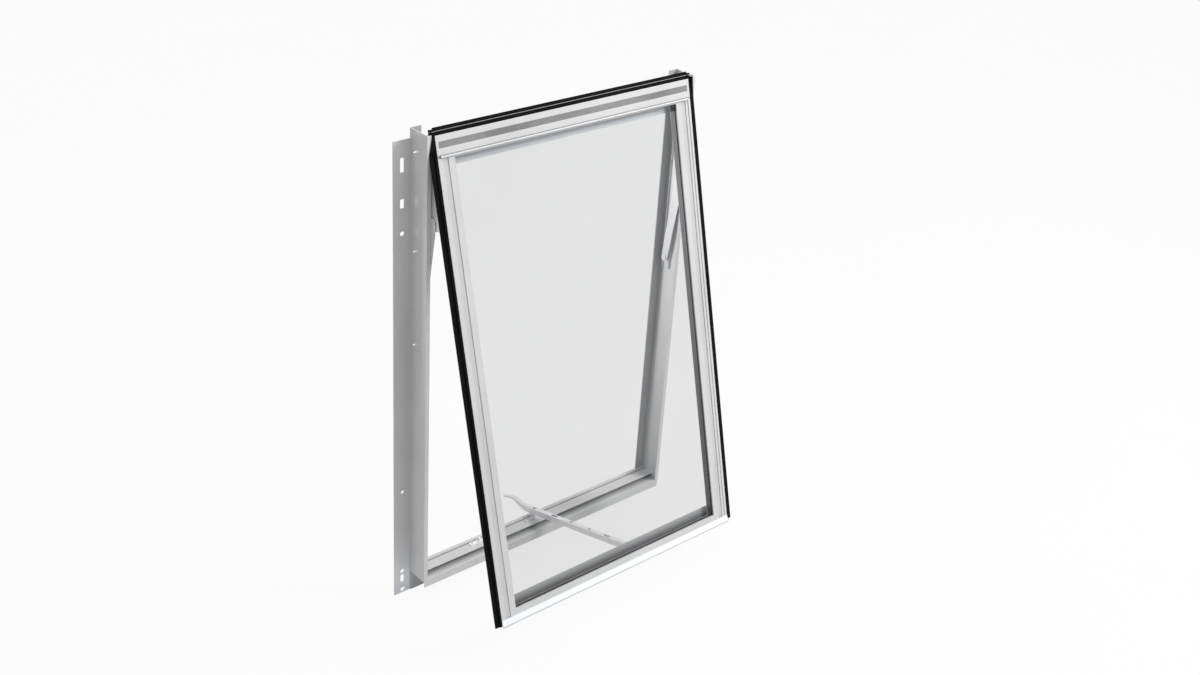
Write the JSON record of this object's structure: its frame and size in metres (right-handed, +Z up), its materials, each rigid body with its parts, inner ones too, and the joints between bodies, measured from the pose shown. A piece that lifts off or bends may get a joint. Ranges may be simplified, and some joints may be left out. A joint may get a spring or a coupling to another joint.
{
  "type": "greenhouse window",
  "caption": "Top-hung greenhouse window: aluminium frame with perforated side fins, glazed sash tilted open on side stays, black edge gaskets and a perforated casement stay.",
  "frame": {"origin": "centre of the four round fixing holes in the side fins, on the back plane of the fins", "axes": "+X to the right seen from outside, +Y into the building through the fins, +Z up along the jambs"},
  "size_m": [0.75, 0.3776, 1.0596],
  "materials": {
    "frame_aluminium": "satin",
    "sash_aluminium": "satin",
    "strip_grey": "matte",
    "glass": "clear",
    "gasket_black": "matte",
    "seal_grey": "matte",
    "stay_steel": "brushed",
    "fixing_steel": "plated",
    "shoe_plastic": "matte",
    "stay_aluminium": "satin"
  },
  "bodies": {
    "frame": {"left_jamb": "frame_aluminium", "right_jamb": "frame_aluminium", "head_rail": "frame_aluminium", "sill": "frame_aluminium", "corner_rivets": "fixing_steel", "left_track": "stay_steel", "right_track": "stay_steel", "track_screws": "fixing_steel", "left_pivot_post": "fixing_steel", "right_pivot_post": "fixing_steel", "left_peg_bracket": "stay_aluminium", "middle_peg_bracket": "stay_aluminium", "peg_screws": "fixing_steel"},
    "sash": {"left_stile": "sash_aluminium", "right_stile": "sash_aluminium", "top_rail": "sash_aluminium", "cover_strip": "strip_grey", "bottom_rail": "sash_aluminium", "drip_profile": "sash_aluminium", "glass_pane": "glass", "outer_glazing_seals": "seal_grey", "inner_glazing_seals": "seal_grey", "setting_blocks": "seal_grey", "left_gasket": "gasket_black", "right_gasket": "gasket_black", "head_gasket": "gasket_black", "left_sash_plate": "stay_steel", "right_sash_plate": "stay_steel", "plate_screws": "fixing_steel", "left_arm_pin": "fixing_steel", "right_arm_pin": "fixing_steel", "stay_bracket": "stay_aluminium", "bracket_screws": "fixing_steel", "swivel_pin": "fixing_steel"},
    "left_arm": {"left_side_arm": "stay_steel"},
    "right_arm": {"right_side_arm": "stay_steel"},
    "left_slider": {"left_shoe": "shoe_plastic", "left_shoe_pin": "fixing_steel"},
    "right_slider": {"right_shoe": "shoe_plastic", "right_shoe_pin": "fixing_steel"},
    "stay_fork": {"stay_swivel": "stay_aluminium", "lift_pin": "fixing_steel"},
    "stay_bar": {"stay_arm": "stay_aluminium"}
  },
  "joints": [
    {"name": "left_arm_swing", "type": "hinge", "parent": "frame", "child": "left_arm", "pos_m": [-0.32575, -0.023, 0.076], "axis": [1, 0, 0], "range_deg": [-7.33, 0.05]},
    {"name": "sash_tilt", "type": "hinge", "parent": "left_arm", "child": "sash", "pos_m": [-0.32575, -0.05466, 0.32399], "axis": [1, 0, 0], "range_deg": [0, 21.95]},
    {"name": "right_arm_swing", "type": "hinge", "parent": "frame", "child": "right_arm", "pos_m": [0.32575, -0.023, 0.076], "axis": [1, 0, 0], "range_deg": [-7.33, 0.05]},
    {"name": "left_shoe_pivot", "type": "hinge", "parent": "sash", "child": "left_slider", "pos_m": [-0.3225, -0.023, 0.44491], "axis": [1, 0, 0], "range_deg": [-14.72, 0.05]},
    {"name": "right_shoe_pivot", "type": "hinge", "parent": "sash", "child": "right_slider", "pos_m": [0.3225, -0.023, 0.44491], "axis": [1, 0, 0], "range_deg": [-14.72, 0.05]},
    {"name": "stay_swing", "type": "hinge", "parent": "sash", "child": "stay_fork", "pos_m": [0.0445, -0.25989, -0.44459], "axis": [0, 0.2533, 0.9674], "range_deg": [-60, 75]},
    {"name": "stay_lift", "type": "hinge", "parent": "stay_fork", "child": "stay_bar", "pos_m": [0.0445, -0.25989, -0.44459], "axis": [0.9752, 0.214, -0.056], "range_deg": [0, 60]}
  ],
  "couplings": [
    {"joint": "left_arm_swing", "follows": "sash_tilt", "ratio": -0.3315},
    {"joint": "right_arm_swing", "follows": "sash_tilt", "ratio": -0.3315},
    {"joint": "left_shoe_pivot", "follows": "sash_tilt", "ratio": -0.6685},
    {"joint": "right_shoe_pivot", "follows": "sash_tilt", "ratio": -0.6685}
  ]
}
